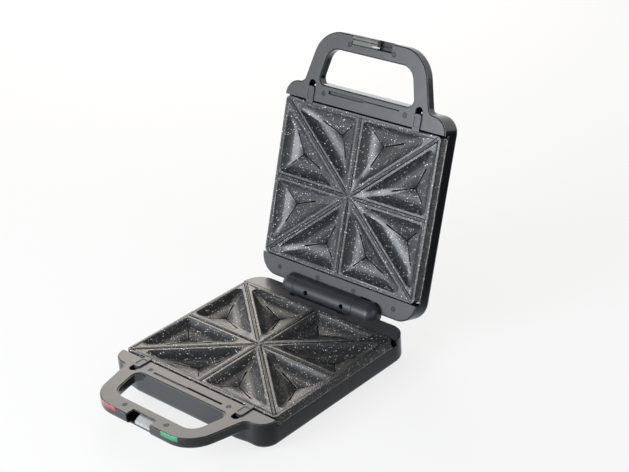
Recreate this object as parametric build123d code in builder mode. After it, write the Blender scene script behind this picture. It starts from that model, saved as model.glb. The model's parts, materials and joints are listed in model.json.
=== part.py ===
from build123d import *
import os
from math import atan2, cos, degrees, hypot, radians, sin, tan

os.makedirs("parts", exist_ok=True)

# A folding sandwich toaster for four slices of bread, standing open.
# Its lower half (the base) and its upper half (the lid) are almost mirror images of each other.
# Each half is drawn in its own frame: x across, y from the handle towards the hinge, z out of its mouth,
# with the origin in the middle of the cooking plate's top face. All sizes are in millimetres.

# ---------------------------------------------------------------- driving sizes

# cooking plates
plate_width = 250.0  # two slices of bread side by side
plate_depth = 209.0  # two slices of bread one behind the other
half_width = plate_width / 2
half_depth = plate_depth / 2
plate_corner = 5.0
plate_skirt = 8.8  # height of the rim that hangs down round the plate
skirt_wall = 3.0
land_thickness = 3.0  # metal between the pockets
land_half = 5.5  # from the middle of a land to the lip of a pocket
casting_wall = 2.4
pocket_wall_radius = 20.0  # the pocket wall is one arc in section
pocket_lip_angle = 60.0  # slope of the wall at the lip, degrees from flat
pocket_foot_angle = 10.0  # slope of the three floor facets
pocket_lip_corner = 6.0
pocket_foot_corner = 4.0
bulge_knee = 0.55  # where the underside of a pocket bends, as a share of the wall's run
rib_width = 3.0  # double sealing bead that parts the pockets
rib_height = 0.6
rib_groove = 0.9
rib_end = 4.0  # the beads stop this far from the plate's edge
edge_groove_inset = 3.0
edge_groove_width = 0.8
edge_groove_depth = 0.5
plate_gap = 2.0  # between the two plates when the lid is closed

# housings
body_half = half_width + 4.0  # half the width over the housings
shoulder_y = half_depth + 22.5  # plate centre to the front wall beside the handle
finger_back = shoulder_y + 2.5  # plate centre to the front wall seen through the handle
body_back = half_depth + 28.0  # plate centre to the back wall
front_corner = 20.5
back_corner = 27.0
step_corner = 12.0
base_depth = 34.0  # plate face to the underside of the base
lid_depth = 32.0  # plate face to the outside of the lid
base_edge_radius = 6.0
lid_edge_radius = 9.0
wall = 2.6
floor = 2.2
flange_drop = 8.8  # the reflector's flange lies under the plate's skirt
sheet = 0.7  # reflector steel
partition = 2.0  # cross walls in front of and behind the plate
fit = 0.3  # general clearance between pieces that don't touch

# handle loops
grip_front = shoulder_y + 72.3  # plate centre to the front of the handle
grip_depth = 15.0  # plate face to the underside of the handle
shoulder_half = body_half - 28.0  # half the handle's width where it leaves the body
grip_slant = 15.0  # the handle narrows forwards by this angle
grip_corner = 42.0
shoulder_corner = 9.0
grip_edge_radius = 4.0
grip_floor = 2.4
finger_front = grip_front - 22.3  # plate centre to the far side of the finger opening
finger_half = shoulder_half - 23.5  # half the opening's width at the body
finger_slant = 14.0
finger_front_corner = 19.0
finger_back_corner = 9.0

# deck panels that close the front and back of each half
panel_drop = 1.0  # the panels lie this far below the plate's face
panel_thickness = 2.5
rim_drop = 2.0  # the housing's rim lies this far below the plate's face
rim_width = 1.0  # housing rim that shows round a panel
seam = 0.3
panel_gap = 1.8  # between a panel and the plate
panel_edge_radius = 0.5

# hinge
hinge_y = body_back + 2.15  # plate centre to the hinge axis, level with the base plate's face
open_angle = 107.9
barrel_radius = 15.0
barrel_left = -54.5
barrel_right = 43.5
knuckle_gap = 0.5  # between the barrel's ends and the knuckles
knuckle_left_end = -79.0
knuckle_right_end = 77.5
knuckle_dome = 12.5
swing_clearance = 1.5  # round a barrel or knuckle that turns in its well
well_wall = 3.2
pin_radius = 4.0
pin_bore = 2.2
pin_running_clearance = 0.05
pin_length = 28.0
pin_in_knuckle = 18.0
stop_reach = 21.0  # hinge axis to the end of the ribs that stop the opening lid
stop_height = 4.0
stop_width = 9.0

knuckle_foot_bottom = 27.5  # how far a knuckle's foot reaches down the back wall, below the axis
knuckle_foot_thickness = 6.0
foot_lean = 35.0  # where a foot leaves its knuckle, degrees below level
knuckle_screw_drop = 23.0
knuckle_screw_x = (-63.0, 56.0)
barrel_screw_x = (-32.0, 28.0)
barrel_screw_mouth = 3.3  # radius of the deep holes that the barrel's screws sit in
barrel_flat = 12.5  # hinge axis to the flat that the barrel is seated on
barrel_seat_from = -50.0
barrel_seat_to = 39.0
barrel_seat_half = 7.65

# tongues that hold the back edge of a plate, in passages under the rear panel
tongue_x = 62.0
tongue_width = 14.0
tongue_drop = 4.6
tongue_thickness = 2.2
tongue_end = half_depth + 4.5

# catches that hold the plates, one at each front corner of a plate
catch_x = half_width - 39.0
catch_slot_width = 11.5
catch_slot_front = shoulder_y + 6.0
catch_tab_front = shoulder_y - 2.5
catch_proud = 0.7  # above the plate's face
catch_bite = 2.0  # how far the nose reaches over the plate's border
catch_step = 1.2
catch_flange_half = 7.5
catch_tail_width = 8.0
catch_tail_drop = 10.8
catch_travel = 4.5
catch_corner = 3.5  # round front corners of the tab
thumb_recess = 0.6  # shallow hollow in the tab
spring_radius = 2.2
spring_wire = 0.7
spring_drop = 8.4

# stepped slot in the front panels, with a filler strip in its left half
slot_left = -57.5
slot_middle = -1.0
slot_right = 56.0
slot_left_y = {"base": shoulder_y - 6.1, "lid": shoulder_y - 5.25}
slot_left_width = {"base": 3.6, "lid": 4.5}
slot_right_y = {"base": shoulder_y - 7.3, "lid": shoulder_y - 5.0}
slot_right_width = {"base": 3.2, "lid": 1.0}
filler_drop = 0.6
filler_end_gap = {"base": 0.3, "lid": 4.0}
filler_side_gap = {"base": 0.3, "lid": 0.9}

# screws
post_radius = 3.5
screw_radius = 1.5
screw_head_radius = 2.9
screw_head_height = 1.2
deck_screw_length = 8.0
reflector_screw_length = 4.0
front_screw_points = [(-65.7, 8.3 - shoulder_y), (65.7, 8.3 - shoulder_y)]
handle_screw_points = [(-35.0, 12.3 - grip_front), (35.0, 12.3 - grip_front)]
rear_screw_points = [(x, body_back - 13.2) for x in (29.0 - half_width, half_width - 29.0)]
rear_screw_points += [(-30.0, body_back - 16.7), (30.0, body_back - 16.7)]
reflector_screw_points = [(-45.0, -35.0), (45.0, -35.0), (-45.0, 35.0), (45.0, 35.0)]

# reflector pan and heater
pan_half_width = half_width - 4.0
pan_half_depth = half_depth - 4.0
pan_corner = 8.0
pan_drop = 26.8
flange_half_width = body_half - 0.8
flange_half_depth = half_depth - 0.5
heater_radius = 3.25
heater_half_width = pan_half_width - 29.0
heater_half_depth = pan_half_depth - 29.5
heater_corner = 30.0
heater_exit_x = 18.0
heater_exit_corner = 12.0
heater_end_y = half_depth + 0.5
wire_radius = 1.2
wire_y = half_depth + 5.7
wire_low_drop = 26.0
clip_x = 50.0  # heater clips on the long stretches behind the pockets
terminal_x = 74.0
terminal_length = 16.0
terminal_depth = 8.0
terminal_cover = 2.0  # plastic over the upper wire
thermostat_x = 30.0
thermostat_flange_radius = 9.0
thermostat_flange = 2.0
thermostat_can_radius = 7.0
thermostat_can = 4.0
fuse_x = -40.0
fuse_radius = 2.0
fuse_length = 14.0

# recess in the base's rear deck, in which the barrel lies
recess_front_y = body_back - 17.0
recess_notches = [(-55.0, -46.0), (27.0, 40.0)]
recess_notch_depth = 2.5
knuckle_screw_bite = 5.5

# latch notch in the base's handle and lock in the lid's handle
notch_left = -20.0
notch_right = 19.5
notch_back = grip_front - 12.3
notch_setback = 4.0
keeper_left = -10.0
keeper_top_drop = 5.2
keeper_front_drop = 9.0
keeper_gap = 1.0  # behind the keeper, to the panel's edge
keeper_shelf = 3.0  # what lies under the panel
recess_left = -32.0
recess_right = 31.5
recess_back = grip_front - 11.8
recess_drop = 8.2
knob_left = -31.7
knob_right = 8.0
knob_strip = 4.2  # flat strip beside the panel
knob_strip_drop = 2.0
knob_ridge = 1.3
knob_groove = 1.4
knob_groove_depth = 3.5
knob_bevel = 2.0
hook_y = grip_front - 8.5
hook_sheet = 1.6
hook_reach = 8.0  # out of the lid's mouth
hook_toe = 1.8
hook_stem = 3.5
hook_end = 18.9

# lamp lenses on the front of the base's handle
lens_from = 38.0
lens_to = 63.0
red_lens_height = 3.5
green_lens_height = 4.5
lens_top_drop = 1.2
lens_thickness = 3.4
lamp_x = 50.0
lamp_length = 10.0
lamp_radius = 2.3
lamp_drop = 6.5

# cord inlet in the back wall
inlet_x = half_width - 27.0
inlet_drop = 20.0
inlet_radius = 5.0
inlet_bore = 3.5
inlet_flange = 2.0

# feet
foot_height = 4.0
foot_radius = 9.0
foot_x = half_width - 23.0
foot_front_y = half_depth - 6.5
foot_back_y = half_depth + 0.5
foot_taper = 8.0  # degrees

# air slots in the underside of the base, two rows
air_slot_length = 30.0
air_slot_width = 3.0
air_slot_pitch = 9.0
air_slots_in_row = 6
air_slot_y = 65.0

# where the origin lies: in the middle of the open toaster's footprint, on the table
origin_behind_plate_centre = 27.0

# ---------------------------------------------------------------- worked-out sizes

panel_start = half_depth + panel_gap
panel_floor = panel_drop + panel_thickness
rim_drop_beside_plate = flange_drop + sheet
panel_inset = rim_width + seam
lip_to_foot = pocket_wall_radius * (sin(radians(pocket_lip_angle)) - sin(radians(pocket_foot_angle)))
foot_depth = pocket_wall_radius * (cos(radians(pocket_foot_angle)) - cos(radians(pocket_lip_angle)))
diagonal = hypot(half_width, half_depth)
pocket_inradius = half_width * half_depth / (half_width + half_depth + diagonal)
floor_run = pocket_inradius - land_half - lip_to_foot
pocket_depth = foot_depth + floor_run * tan(radians(pocket_foot_angle))
casting_bottom = pocket_depth + casting_wall
heater_drop = casting_bottom + fit + heater_radius
barrel_well = barrel_radius + swing_clearance
seat_radius = barrel_radius + fit

# ---------------------------------------------------------------- frames

mouth_height = foot_height + base_depth
base_mouth = Plane(
    origin=(0, -origin_behind_plate_centre, mouth_height), x_dir=(1, 0, 0), z_dir=(0, 0, 1)
)

# The closed lid faces down, plate_gap above the base plate. It then swings back about the hinge axis.
swing_cos = cos(radians(open_angle))
swing_sin = sin(radians(open_angle))
hinge_world_y = hinge_y - origin_behind_plate_centre
lid_mouth = Plane(
    origin=(
        0,
        hinge_world_y - hinge_y * swing_cos + plate_gap * swing_sin,
        mouth_height + hinge_y * swing_sin + plate_gap * swing_cos,
    ),
    x_dir=(-1, 0, 0),
    z_dir=(0, -swing_sin, -swing_cos),
)


def across(mouth, x):
    """The plane square to a half's x axis: its own x and y are the half's y and z."""
    return Plane(origin=mouth.from_local_coords((x, 0, 0)), x_dir=mouth.y_dir, z_dir=mouth.x_dir)


def facing_handle(mouth, y):
    """The plane square to a half's y axis: its own x and y are the half's x and z."""
    return Plane(origin=mouth.from_local_coords((0, y, 0)), x_dir=mouth.x_dir, z_dir=-mouth.y_dir)


def on_hinge(x):
    """The plane square to the hinge axis, centred on it: its own x points back and its y up."""
    return Plane(origin=(x, hinge_world_y, mouth_height), x_dir=(0, 1, 0), z_dir=(1, 0, 0))


def save(piece, name):
    """Names a finished piece and writes it."""
    piece.part.label = name
    export_step(piece.part, f"parts/{name}.step")


# ---------------------------------------------------------------- shared outlines


def symmetric_face(right_corners, radii, inset=0.0):
    """A face from the corners of its right half, each with its own radius, drawn in by inset."""
    corners = right_corners + [(-x, y) for x, y in reversed(right_corners)]
    with BuildSketch() as face:
        with BuildLine():
            FilletPolyline(*corners, radius=radii + radii[::-1], close=True)
        make_face()
        if inset:
            offset(amount=-inset, mode=Mode.REPLACE)
    return face.sketch


def half_outline(inset=0.0):
    """Body and handle together, seen face on."""
    grip_half = shoulder_half - (grip_front - shoulder_y) * tan(radians(grip_slant))
    return symmetric_face(
        [
            (body_half, body_back),
            (body_half, -shoulder_y),
            (shoulder_half, -shoulder_y),
            (grip_half, -grip_front),
        ],
        [back_corner, front_corner, shoulder_corner, grip_corner],
        inset,
    )


def body_outline(inset=0.0):
    """The deep part of a half, without the handle loop."""
    step = finger_back - shoulder_y
    return symmetric_face(
        [
            (body_half, body_back),
            (body_half, -shoulder_y),
            (shoulder_half - step, -shoulder_y),
            (finger_half + 2 * step, -finger_back),
        ],
        [back_corner, front_corner, step_corner, step_corner],
        inset,
    )


def finger_opening(grow=0.0):
    """The opening of the handle loop."""
    far_half = finger_half - (finger_front - finger_back) * tan(radians(finger_slant))
    return symmetric_face(
        [(finger_half, -finger_back), (far_half, -finger_front)],
        [finger_back_corner, finger_front_corner],
        -grow,
    )


# ---------------------------------------------------------------- cooking plates


def incentre(corners):
    """The point of a triangle that lies equally far from its three sides."""
    a, b, c = corners
    opposite = [hypot(p[0] - q[0], p[1] - q[1]) for p, q in ((b, c), (c, a), (a, b))]
    return [sum(side * corner[i] for side, corner in zip(opposite, corners)) / sum(opposite) for i in (0, 1)]


def pocket_section(corners, inset, corner_radius):
    """A pocket's triangle, drawn in by inset on all three sides."""
    centre_x, centre_y = incentre(corners)
    shrink = (pocket_inradius - inset) / pocket_inradius
    drawn_in = [(centre_x + (x - centre_x) * shrink, centre_y + (y - centre_y) * shrink) for x, y in corners]
    with BuildSketch() as section:
        with BuildLine():
            FilletPolyline(*drawn_in, radius=corner_radius, close=True)
        make_face()
    return section.sketch


def pocket_hollow(mouth, corners):
    """What a pocket takes out of the plate: rounded walls down to a floor of three shallow facets."""
    steps = 4
    walls = []
    for i in range(steps + 1):
        angle = radians(pocket_lip_angle + (pocket_foot_angle - pocket_lip_angle) * i / steps)
        run = pocket_wall_radius * (sin(radians(pocket_lip_angle)) - sin(angle))
        drop = pocket_wall_radius * (cos(angle) - cos(radians(pocket_lip_angle)))
        corner = pocket_lip_corner + (pocket_foot_corner - pocket_lip_corner) * i / steps
        walls.append((land_half + run, drop, corner))
    with BuildPart() as hollow:
        for inset, drop, corner in walls:
            with BuildSketch(mouth.offset(-drop)):
                add(pocket_section(corners, inset, corner))
        loft(ruled=True)
        foot_inset, foot_drop, foot_corner = walls[-1]
        with BuildSketch(mouth.offset(-foot_drop)) as foot:
            add(pocket_section(corners, foot_inset, foot_corner))
        apex = Vertex(*mouth.from_local_coords((*incentre(corners), -pocket_depth)))
        loft(sections=[foot.sketch.faces()[0], apex])
    return hollow.part


def pocket_bulge(mouth, corners):
    """The underside of a pocket: a plain hopper that keeps the casting about one wall thick."""
    top_inset = casting_wall + fit
    knee_inset = land_half + lip_to_foot * bulge_knee
    knee_drop = foot_depth + casting_wall - fit
    with BuildPart() as bulge:
        with BuildSketch(mouth.offset(fit - land_thickness)):
            add(pocket_section(corners, top_inset, 0))
        with BuildSketch(mouth.offset(-knee_drop)):
            add(pocket_section(corners, knee_inset, 0))
        loft(ruled=True)
        with BuildSketch(mouth.offset(-knee_drop)) as knee:
            add(pocket_section(corners, knee_inset, 0))
        apex = Vertex(*mouth.from_local_coords((*incentre(corners), -casting_bottom)))
        loft(sections=[knee.sketch.faces()[0], apex])
    return bulge.part


def pocket_triangles():
    """The eight triangles that the axes and the diagonals make of the plate."""
    triangles = []
    for x in (half_width, -half_width):
        for y in (half_depth, -half_depth):
            triangles.append([(0, 0), (x, y), (x, 0)])
            triangles.append([(0, 0), (x, y), (0, y)])
    return triangles


def bead_lines(width, end):
    """The beads between the pockets: both axes and both diagonals, stopping short of the edge."""
    corner_angle = degrees(atan2(half_depth, half_width))
    with BuildSketch() as beads:
        Rectangle(plate_width - 2 * end, width)
        Rectangle(width, plate_depth - 2 * end)
        Rectangle(2 * (diagonal - 2 * end), width, rotation=corner_angle)
        Rectangle(2 * (diagonal - 2 * end), width, rotation=-corner_angle)
    return beads.sketch


def plate_rectangle(inset=0.0):
    """The plate's outline, drawn in by inset."""
    with BuildSketch() as rectangle:
        RectangleRounded(plate_width - 2 * inset, plate_depth - 2 * inset, max(plate_corner - inset, 1.0))
    return rectangle.sketch


def cooking_plate(mouth):
    """A die-cast plate: a flat tray with a skirt, eight pockets and their sealing beads."""
    with BuildPart() as plate:
        with BuildSketch(mouth):
            add(plate_rectangle())
        extrude(amount=-plate_skirt)
        with BuildSketch(mouth.offset(-plate_skirt)):
            add(plate_rectangle(skirt_wall))
        extrude(amount=plate_skirt - land_thickness, mode=Mode.SUBTRACT)
        for corners in pocket_triangles():
            add(pocket_bulge(mouth, corners))
        with BuildSketch(mouth):
            add(bead_lines(rib_width, rib_end))
        extrude(amount=rib_height)
        with BuildSketch(mouth.offset(rib_height)):
            add(bead_lines(rib_groove, rib_end + (rib_width - rib_groove) / 2))
        extrude(amount=-rib_height, mode=Mode.SUBTRACT)
        with BuildSketch(mouth):
            add(plate_rectangle(edge_groove_inset))
            add(plate_rectangle(edge_groove_inset + edge_groove_width), mode=Mode.SUBTRACT)
        extrude(amount=-edge_groove_depth, mode=Mode.SUBTRACT)
        for corners in pocket_triangles():
            add(pocket_hollow(mouth, corners), mode=Mode.SUBTRACT)
        # the front border is stepped down where the noses of the catches reach over it
        with BuildSketch(mouth):
            with Locations((-catch_x, -half_depth), (catch_x, -half_depth)):
                Rectangle(catch_slot_width, 2 * catch_bite)
        extrude(amount=-catch_step, mode=Mode.SUBTRACT)
        with BuildSketch(mouth.offset(-tongue_drop)):
            with Locations((-tongue_x, half_depth - skirt_wall / 2), (tongue_x, half_depth - skirt_wall / 2)):
                Rectangle(
                    tongue_width, tongue_end - half_depth + skirt_wall / 2, align=(Align.CENTER, Align.MIN)
                )
        extrude(amount=-tongue_thickness)
    return plate.part


# ---------------------------------------------------------------- housings


def drum(x_from, x_to, radius, dome_left=0.0, dome_right=0.0):
    """A round bar along the hinge axis, whose ends may be domed."""
    with BuildPart() as bar:
        with BuildSketch(on_hinge(x_from)):
            Circle(radius)
        extrude(amount=x_to - x_from)
        if dome_left:
            fillet(bar.faces().sort_by(Axis.X)[0].edges(), dome_left)
        if dome_right:
            fillet(bar.faces().sort_by(Axis.X)[-1].edges(), dome_right)
    return bar.part


def barrel_drum(radius, gap=0.0):
    """The stretch of the hinge that belongs to the lid."""
    return drum(barrel_left - gap, barrel_right + gap, radius)


def knuckle_drum(side, radius, gap=0.0):
    """One of the two stretches of the hinge that belong to the base."""
    dome = knuckle_dome + gap
    if side < 0:
        return drum(knuckle_left_end - gap, barrel_left - knuckle_gap + gap, radius, dome_left=dome)
    return drum(barrel_right + knuckle_gap - gap, knuckle_right_end + gap, radius, dome_right=dome)


def body_interior(mouth, depth, edge_radius, share=1.0):
    """The space inside a body, or one that reaches into its walls if it leaves only a share of them."""
    depth_axis = Axis(mouth.origin, mouth.z_dir)
    with BuildPart() as space:
        with BuildSketch(mouth.offset(-rim_drop)):
            add(body_outline(share * wall))
        extrude(amount=-(depth - share * floor - rim_drop))
        fillet(space.faces().sort_by(depth_axis)[0].edges(), edge_radius - share * wall)
    return space.part


def interior(mouth, depth, edge_radius):
    """The space inside a housing."""
    with BuildPart() as space:
        add(body_interior(mouth, depth, edge_radius))
        with BuildSketch(mouth.offset(-rim_drop)):
            add(half_outline(wall))
            add(finger_opening(wall), mode=Mode.SUBTRACT)
        extrude(amount=-(grip_depth - grip_floor - rim_drop))
    return space.part


def cross_walls(mouth, depth, edge_radius):
    """Walls in front of and behind the plate, which carry the edges of the panels."""
    with BuildPart() as walls:
        with BuildSketch(mouth.offset(-rim_drop)):
            for y in (panel_start + partition / 2, -panel_start - partition / 2):
                with Locations((0, y)):
                    Rectangle(2 * body_half, partition)
        extrude(amount=-depth)
        add(body_interior(mouth, depth, edge_radius, 0.5), mode=Mode.INTERSECT)
    return walls.part


def housing(mouth, depth, edge_radius):
    """A moulded tub with its handle loop, before the hinge and the fittings of its own half."""
    depth_axis = Axis(mouth.origin, mouth.z_dir)
    reach = 2 * body_half
    with BuildPart() as shell:
        with BuildSketch(mouth.offset(-rim_drop)):
            add(half_outline())
            with Locations((0, reach / 2 - half_depth)):
                Rectangle(reach, reach, mode=Mode.SUBTRACT)
            add(finger_opening(), mode=Mode.SUBTRACT)
        extrude(amount=-(grip_depth - rim_drop))
        underside = shell.faces().sort_by(depth_axis)[0]
        rounded = [e for e in underside.edges() if mouth.to_local_coords(e.center()).Y < -half_depth - 1]
        fillet(rounded, grip_edge_radius)
        with BuildSketch(mouth.offset(-rim_drop)):
            add(body_outline())
        extrude(amount=-(depth - rim_drop))
        fillet(shell.faces().sort_by(depth_axis)[0].edges(), edge_radius)
        add(interior(mouth, depth, edge_radius), mode=Mode.SUBTRACT)
        add(cross_walls(mouth, depth, edge_radius))
        # rebate for the panels
        with BuildSketch(mouth.offset(-rim_drop)):
            add(half_outline(rim_width))
            add(finger_opening(rim_width), mode=Mode.SUBTRACT)
        extrude(amount=-(panel_floor - rim_drop), mode=Mode.SUBTRACT)
        # the side walls are lower beside the plate, where the reflector's flange lies on them
        with BuildSketch(mouth.offset(-rim_drop_beside_plate)):
            Rectangle(2 * body_half, 2 * panel_start)
        extrude(amount=rim_drop_beside_plate, mode=Mode.SUBTRACT)
        # passages for the catches, for the plate's tongues and for the heater's ends
        with BuildSketch(mouth.offset(-rim_drop)):
            with Locations((-catch_x, -panel_start), (catch_x, -panel_start)):
                Rectangle(catch_slot_width, 3 * partition)
        extrude(amount=-(panel_floor + 2 * fit + screw_radius - rim_drop), mode=Mode.SUBTRACT)
        with BuildSketch(mouth.offset(fit - tongue_drop)):
            with Locations((-tongue_x, panel_start), (tongue_x, panel_start)):
                Rectangle(tongue_width + 2 * fit, 3 * partition)
        extrude(amount=-(tongue_thickness + 2 * fit), mode=Mode.SUBTRACT)
        with BuildSketch(facing_handle(mouth, panel_start + 2 * partition)):
            with Locations((-heater_exit_x, -heater_drop), (heater_exit_x, -heater_drop)):
                Circle(heater_radius + fit)
        extrude(amount=3 * partition, mode=Mode.SUBTRACT)
    return shell.part


def screw_groups(depth, rear_points):
    """Where a half's screw posts stand: their points, the level of their feet and of their tops."""
    deep_floor = depth - floor / 2
    return [
        (front_screw_points + rear_points, deep_floor, panel_floor, deck_screw_length),
        (handle_screw_points, grip_depth - grip_floor / 2, panel_floor, deck_screw_length),
        (reflector_screw_points, deep_floor, pan_drop, reflector_screw_length - sheet),
    ]


def screw_posts(mouth, depth, rear_points):
    """Moulded posts that carry the panels and the reflector."""
    with BuildPart() as posts:
        for points, foot_drop, top_drop, _ in screw_groups(depth, rear_points):
            with BuildSketch(mouth.offset(-foot_drop)):
                with Locations(*points):
                    Circle(post_radius)
            extrude(amount=foot_drop - top_drop)
    return posts.part


def screw_holes(mouth, depth, rear_points):
    """The holes in the posts, a little deeper than their screws."""
    with BuildPart() as holes:
        for points, _, top_drop, length in screw_groups(depth, rear_points):
            with BuildSketch(mouth.offset(-top_drop)):
                with Locations(*points):
                    Circle(screw_radius)
            extrude(amount=-(length + fit))
    return holes.part


def hinge_lining(mouth, depth):
    """Solid plastic round the hinge, inside the housing, in which the wells are cut."""
    with BuildPart() as lining:
        add(drum(knuckle_left_end - well_wall, knuckle_right_end + well_wall, barrel_well + well_wall))
        with BuildSketch(mouth.offset(-panel_floor)):
            add(body_outline(wall / 2))
        extrude(amount=-depth, mode=Mode.INTERSECT)
    return lining.part


def box_between(mouth, low, high):
    """A block between two corners given in a half's own frame."""
    centre = tuple((a + b) / 2 for a, b in zip(low, high))
    with BuildPart(mouth) as block:
        with Locations(centre):
            Box(*[b - a for a, b in zip(low, high)])
    return block.part


def lens_ring(side, inset, thickness, top_drop, bottom_drop):
    """A stretch of the handle's front wall, on the left or the right."""
    middle = side * (lens_from + lens_to) / 2
    with BuildPart() as ring:
        with BuildSketch(base_mouth.offset(-bottom_drop)):
            with Locations((middle, -grip_front)):
                Rectangle(lens_to - lens_from, 2 * (grip_front - finger_front))
            add(half_outline(inset), mode=Mode.INTERSECT)
            add(half_outline(thickness), mode=Mode.SUBTRACT)
        extrude(amount=bottom_drop - top_drop)
    return ring.part


def lens(side, height):
    """A lamp lens that fills a window in the handle's front wall, up to the panel's edge."""
    with BuildPart() as window:
        add(lens_ring(side, 0, lens_thickness, panel_floor, rim_drop + height))
        add(lens_ring(side, 0, rim_width, lens_top_drop, panel_floor))
    return window.part


# base housing
with BuildPart() as base_housing:
    add(housing(base_mouth, base_depth, base_edge_radius))
    add(screw_posts(base_mouth, base_depth, []))
    add(hinge_lining(base_mouth, base_depth))
    add(screw_holes(base_mouth, base_depth, []), mode=Mode.SUBTRACT)
    add(barrel_drum(barrel_well, knuckle_gap), mode=Mode.SUBTRACT)
    for side in (-1, 1):
        add(knuckle_drum(side, seat_radius, fit), mode=Mode.SUBTRACT)
    # notch in the front of the handle, where the lid's hook comes down
    add(
        box_between(
            base_mouth,
            (notch_left, -grip_front - 1, -grip_depth - 1),
            (notch_right, notch_setback - grip_front, 1),
        ),
        mode=Mode.SUBTRACT,
    )
    add(lens(-1, red_lens_height), mode=Mode.SUBTRACT)
    add(lens(1, green_lens_height), mode=Mode.SUBTRACT)
    # cord inlet and knuckle screws through the back wall
    with BuildSketch(facing_handle(base_mouth, body_back + 1)):
        with Locations((inlet_x, -inlet_drop)):
            Circle(inlet_radius)
        with Locations(*[(x, -knuckle_screw_drop) for x in knuckle_screw_x]):
            Circle(screw_radius)
    extrude(amount=2 * wall, mode=Mode.SUBTRACT)
    # air slots in the underside
    with BuildSketch(base_mouth.offset(-base_depth)):
        with Locations((0, air_slot_y), (0, -air_slot_y)):
            with GridLocations(air_slot_pitch, 0, air_slots_in_row, 1):
                SlotOverall(air_slot_length, air_slot_width, rotation=90)
    extrude(amount=2 * floor, mode=Mode.SUBTRACT)
save(base_housing, "base_housing")

# lid housing
with BuildPart() as lid_housing:
    add(housing(lid_mouth, lid_depth, lid_edge_radius))
    add(screw_posts(lid_mouth, lid_depth, rear_screw_points))
    add(hinge_lining(lid_mouth, lid_depth))
    add(screw_holes(lid_mouth, lid_depth, rear_screw_points), mode=Mode.SUBTRACT)
    add(barrel_drum(seat_radius, fit), mode=Mode.SUBTRACT)
    for side in (-1, 1):
        add(knuckle_drum(side, barrel_well, swing_clearance), mode=Mode.SUBTRACT)
    # bracket behind the back wall that the hinge barrel is screwed to
    seat_z = plate_gap - barrel_flat
    with BuildSketch(across(lid_mouth, -barrel_seat_to)):
        with BuildLine():
            Polyline(
                (hinge_y - barrel_seat_half, seat_z),
                (hinge_y + barrel_seat_half, seat_z),
                (hinge_y + barrel_seat_half, seat_z - barrel_seat_half),
                (body_back, lid_edge_radius - lid_depth - fit),
                (hinge_y - barrel_seat_half, lid_edge_radius - lid_depth - fit),
                close=True,
            )
        make_face()
    extrude(amount=barrel_seat_to - barrel_seat_from)
    with BuildSketch(lid_mouth.offset(seat_z)):
        with Locations(*[(-x, hinge_y) for x in barrel_screw_x]):
            Circle(screw_radius)
    extrude(amount=-(deck_screw_length + fit), mode=Mode.SUBTRACT)
    # recess and rail for the lock
    add(
        box_between(
            lid_mouth,
            (-recess_right, -grip_front - 1, -recess_drop),
            (-recess_left, wall - grip_front + 1, 1),
        ),
        mode=Mode.SUBTRACT,
    )
    add(
        box_between(
            lid_mouth,
            (-recess_right + fit, 1 - grip_front, -grip_depth + 1),
            (-recess_left - fit, 1 - recess_back, -recess_drop),
        )
    )
save(lid_housing, "lid_housing")


# ---------------------------------------------------------------- plates, reflectors and heaters


def reflector(mouth):
    """A pressed steel pan under the plate, whose flange shows as a bright strip along both sides."""
    with BuildPart() as pan:
        with BuildSketch(mouth.offset(-flange_drop)):
            RectangleRounded(2 * flange_half_width, 2 * flange_half_depth, plate_corner)
        extrude(amount=-sheet)
        with BuildSketch(mouth.offset(-flange_drop)):
            RectangleRounded(2 * pan_half_width, 2 * pan_half_depth, pan_corner)
        extrude(amount=flange_drop - pan_drop)
        with BuildSketch(mouth.offset(-flange_drop)):
            RectangleRounded(2 * (pan_half_width - sheet), 2 * (pan_half_depth - sheet), pan_corner - sheet)
        extrude(amount=flange_drop + sheet - pan_drop, mode=Mode.SUBTRACT)
        with BuildSketch(mouth.offset(-pan_drop)):
            with Locations(*reflector_screw_points):
                Circle(screw_radius)
        extrude(amount=2 * sheet, mode=Mode.SUBTRACT)
        with BuildSketch(facing_handle(mouth, pan_half_depth + sheet)):
            with Locations((-heater_exit_x, -heater_drop), (heater_exit_x, -heater_drop)):
                Circle(heater_radius + fit)
        extrude(amount=3 * sheet, mode=Mode.SUBTRACT)
    return pan.part


def heater(mouth):
    """A sheathed heating rod, bent once round the pan with both ends leaving at the back."""
    with BuildPart() as rod:
        with BuildLine(mouth.offset(-heater_drop)) as path:
            FilletPolyline(
                (heater_exit_x, heater_end_y),
                (heater_exit_x, heater_half_depth),
                (heater_half_width, heater_half_depth),
                (heater_half_width, -heater_half_depth),
                (-heater_half_width, -heater_half_depth),
                (-heater_half_width, heater_half_depth),
                (-heater_exit_x, heater_half_depth),
                (-heater_exit_x, heater_end_y),
                radius=[heater_exit_corner] + 4 * [heater_corner] + [heater_exit_corner],
            )
        with BuildSketch(Plane(origin=path.line @ 0, z_dir=path.line % 0)):
            Circle(heater_radius)
        sweep(path=path.line)
    return rod.part


def heater_clips(mouth):
    """Saddles that hold the heating rod off the pan, two on its sides and three on its ends."""
    with BuildPart() as clips:
        saddles = [(facing_handle(mouth, pan_corner / 2), x) for x in (-heater_half_width, heater_half_width)]
        saddles += [
            (across(mouth, x - pan_corner / 2), y)
            for x, y in ((0, -heater_half_depth), (-clip_x, heater_half_depth), (clip_x, heater_half_depth))
        ]
        for plane, place in saddles:
            with BuildSketch(plane):
                with Locations((place, sheet - pan_drop)):
                    Rectangle(
                        4 * heater_radius,
                        pan_drop - sheet - heater_drop + 1,
                        align=(Align.CENTER, Align.MIN),
                    )
                with Locations((place, -heater_drop)):
                    Circle(heater_radius, mode=Mode.SUBTRACT)
            extrude(amount=pan_corner)
    return clips.part


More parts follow.
